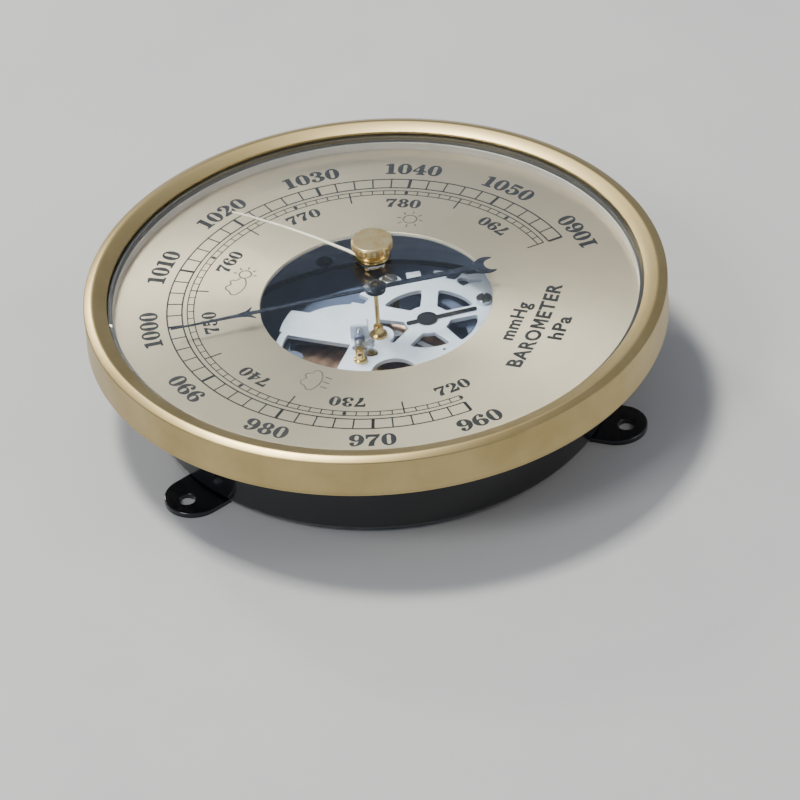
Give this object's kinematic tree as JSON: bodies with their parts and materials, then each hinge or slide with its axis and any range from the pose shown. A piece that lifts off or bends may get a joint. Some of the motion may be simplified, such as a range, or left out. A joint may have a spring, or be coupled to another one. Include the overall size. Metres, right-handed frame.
{
  "type": "aneroid barometer",
  "caption": "Round aneroid barometer with a brass bezel, domed glass, open-centre dial, pressure hand, set hand with knob, capsule movement and rear mounting lugs.",
  "frame": {"origin": "middle of the back, at the plane of the three mounting lugs", "axes": "+Z along the dial axis out of the glass, +Y towards 12 o'clock, +X towards 3 o'clock"},
  "size_m": [0.127, 0.127, 0.0409],
  "materials": {
    "black_enamel": "gloss black stoved enamel on pressed steel",
    "satin_brass": "satin turned brass, lacquered",
    "clear_glass": "clear domed mineral glass",
    "black_rubber": "black gasket rubber",
    "grey_lacquer": "grey satin lacquer",
    "champagne_dial": "champagne anodised aluminium, brushed round",
    "turned_brass": "polished turned brass",
    "pale_gilt": "pale gilt, thin pointer",
    "blued_steel": "blue-black hand lacquer",
    "nickel_plate": "bright nickelled sheet",
    "steel": "bright steel",
    "dark_steel": "blackened steel plate",
    "copper_alloy": "oxidised beryllium-copper sheet"
  },
  "bodies": {
    "case": {"case_shell": "black_enamel", "mounting_lugs": "black_enamel", "lug_rivets": "black_enamel", "bezel": "satin_brass", "crystal": "clear_glass", "crystal_gasket": "black_rubber", "bush_washer": "black_rubber", "rehaut_ring": "grey_lacquer", "dial_seat_ring": "grey_lacquer", "dial_plate": "champagne_dial", "spindle_bush": "turned_brass", "arbor_bush": "turned_brass", "rocker_post": "turned_brass", "adjusting_bush": "turned_brass", "movement_pillars": "turned_brass", "plate_spacers": "turned_brass", "capsule_foot": "turned_brass", "bridge_plate": "nickel_plate", "rocker_block": "nickel_plate", "bush_nut": "steel", "friction_washer": "steel", "hairspring": "steel", "hairspring_stud": "steel", "bridge_screws": "steel", "base_screws": "steel", "spring_plate_block": "steel", "spring_plate_screws": "steel", "index_arm": "dark_steel", "lower_plate": "dark_steel", "base_plate": "dark_steel", "capsule_spring_plate": "dark_steel", "capsule_upper": "copper_alloy", "capsule_lower": "copper_alloy"},
    "hand": {"pressure_hand": "blued_steel", "hand_hub": "blued_steel", "hand_arbor": "turned_brass", "arbor_pinion": "steel", "hairspring_collet": "turned_brass"},
    "sector": {"sector_gear": "steel", "sector_arbor": "steel", "tail_pin": "steel"},
    "link": {"link_rod": "steel"},
    "rocker": {"rocker_shaft": "steel", "lift_arm": "steel", "contact_screw": "steel", "drop_arm": "dark_steel"},
    "capsule_top": {"capsule_post": "turned_brass"},
    "set_pointer": {"set_knob": "turned_brass", "set_spindle": "steel", "set_collet": "turned_brass", "set_hand": "pale_gilt"},
    "adjuster": {"adjusting_screw": "turned_brass"}
  },
  "joints": [
    {"name": "hand_turn", "type": "hinge", "parent": "case", "child": "hand", "pos_m": [0, 0, 0.0274], "axis": [0, 0, 1], "range_deg": [-168.5, 101.5], "stiffness_Nm_per_rad": 0.0002, "deforming": ["hairspring"]},
    {"name": "sector_turn", "type": "hinge", "parent": "case", "child": "sector", "pos_m": [-0.00141, -0.01554, 0.01335], "axis": [0, 0, 1], "range_deg": [-8.6, 14.2]},
    {"name": "link_slide", "type": "slide", "parent": "case", "child": "link", "axis": [0.342, -0.9397, 0], "range_m": [-0.00062, 0.00038]},
    {"name": "rocker_tilt", "type": "hinge", "parent": "case", "child": "rocker", "pos_m": [-0.00537, 0.00246, 0.017], "axis": [0.9397, 0.342, 0], "range_deg": [-5, 8.3]},
    {"name": "capsule_rise", "type": "slide", "parent": "case", "child": "capsule_top", "axis": [0, 0, 1], "range_m": [-0.00037, 0.00023], "deforming": ["capsule_upper"]},
    {"name": "set_turn", "type": "hinge", "parent": "case", "child": "set_pointer", "pos_m": [0, 0, 0.036], "axis": [0, 0, 1], "continuous": true},
    {"name": "adjuster_turn", "type": "hinge", "parent": "case", "child": "adjuster", "pos_m": [-0.00648, -0.0146, 0.003], "axis": [0, 0, 1], "range_deg": [-360, 360]}
  ],
  "couplings": [
    {"joint": "sector_turn", "follows": "hand_turn", "ratio": -0.083333},
    {"joint": "link_slide", "follows": "hand_turn", "m_per_rad": 0.00020333},
    {"joint": "rocker_tilt", "follows": "hand_turn", "ratio": -0.047843},
    {"joint": "capsule_rise", "follows": "hand_turn", "m_per_rad": 0.00011961}
  ]
}
